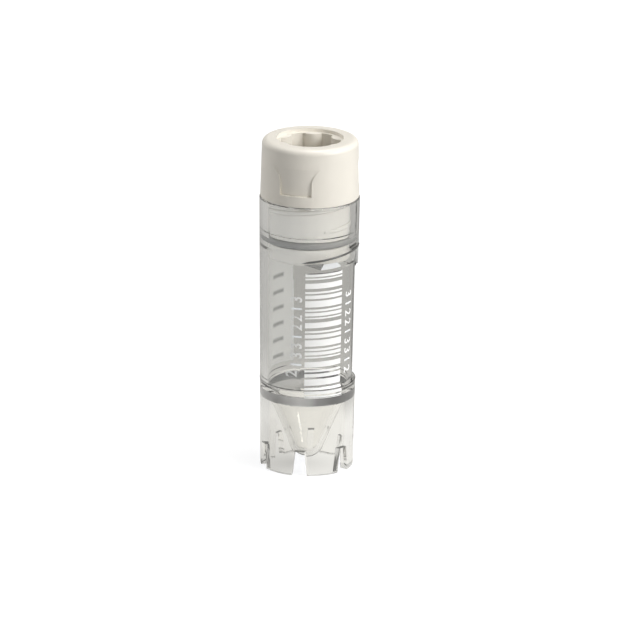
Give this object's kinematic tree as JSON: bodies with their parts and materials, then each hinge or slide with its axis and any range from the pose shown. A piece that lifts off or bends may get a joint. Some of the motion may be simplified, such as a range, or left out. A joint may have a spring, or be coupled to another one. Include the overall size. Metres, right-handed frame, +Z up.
{
  "type": "cryovial",
  "caption": "Clear self-standing sample vial with a notched skirt foot, conical floor, label recess and an opaque plug cap with a lobed drive socket and a seal ring.",
  "frame": {"origin": "centre of the foot of the skirt, on the surface the vial stands on", "axes": "+Z up along the vial's axis; -Y is the side that carries the barcode; +X is the side of the label recess"},
  "size_m": [0.0136, 0.0134, 0.0457],
  "materials": {
    "clear_plastic": "clear polypropylene, slightly hazy",
    "cap_plastic": "opaque cream polypropylene, satin",
    "seal": "grey elastomer"
  },
  "bodies": {
    "tube": {"tube": "clear_plastic"},
    "seal": {"seal_ring": "seal"},
    "cap": {"cap": "cap_plastic"}
  },
  "joints": [
    {"name": "cap_lift", "type": "slide", "parent": "tube", "child": "seal", "axis": [0, 0, 1], "range_m": [0, 0.009]},
    {"name": "cap_turn", "type": "hinge", "parent": "seal", "child": "cap", "pos_m": [0, 0, 0.0377], "axis": [0, 0, 1], "range_deg": [0, 1080]}
  ],
  "couplings": [
    {"joint": "cap_turn", "follows": "cap_lift", "rad_per_m": 2094.4}
  ]
}
